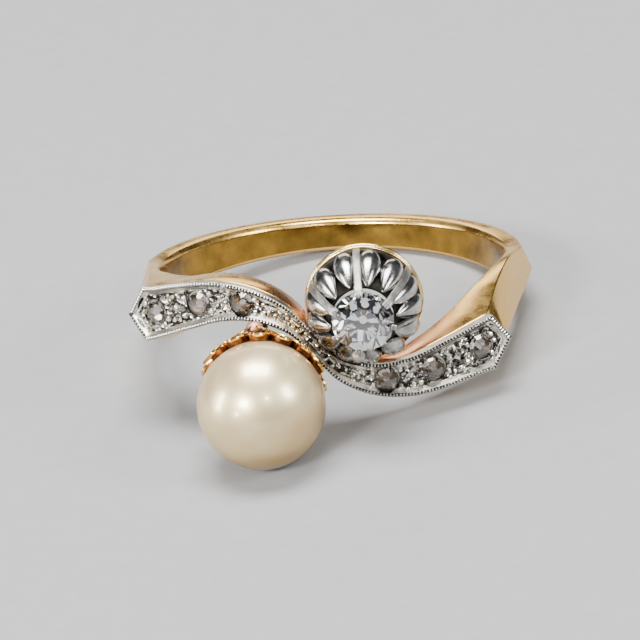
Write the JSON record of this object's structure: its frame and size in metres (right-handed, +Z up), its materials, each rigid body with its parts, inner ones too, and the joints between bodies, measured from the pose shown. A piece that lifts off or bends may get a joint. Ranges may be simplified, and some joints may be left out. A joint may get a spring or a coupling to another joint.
{
  "type": "toi et moi ring",
  "caption": "Bypass finger ring with a pearl and a faceted stone in a fluted crown, side by side in the bends of an S shaped band set with small rose cuts, lying on its side",
  "frame": {"origin": "middle of the ring seen from above, on the surface that it lies on (z = 0)", "axes": "+Z up from the surface; the finger axis leans 11.8 degrees from +Z; -Y is the head with the pearl and the diamond, +Y the back of the band, +X to the right of someone facing the head"},
  "size_m": [0.0194, 0.025, 0.009],
  "materials": {
    "yellow_gold": "polished, worn soft",
    "collet_gold": "polished",
    "rosy_gold": "polished, rosy",
    "platinum": "matt field, milgrain rails",
    "crown_platinum": "satin claws, polished lobes",
    "rose_cut_diamond": "faceted",
    "diamond": "faceted",
    "pearl": "soft pearly lustre"
  },
  "bodies": {
    "root": {"shank": "yellow_gold", "platinum_plate": "platinum", "rose_1": "rose_cut_diamond", "rose_2": "rose_cut_diamond", "rose_3": "rose_cut_diamond", "rose_4": "rose_cut_diamond", "rose_5": "rose_cut_diamond", "rose_6": "rose_cut_diamond", "diamond_collet": "collet_gold", "diamond_crown": "crown_platinum", "centre_diamond": "diamond", "pearl_cup": "rosy_gold", "pearl": "pearl"}
  },
  "joints": []
}
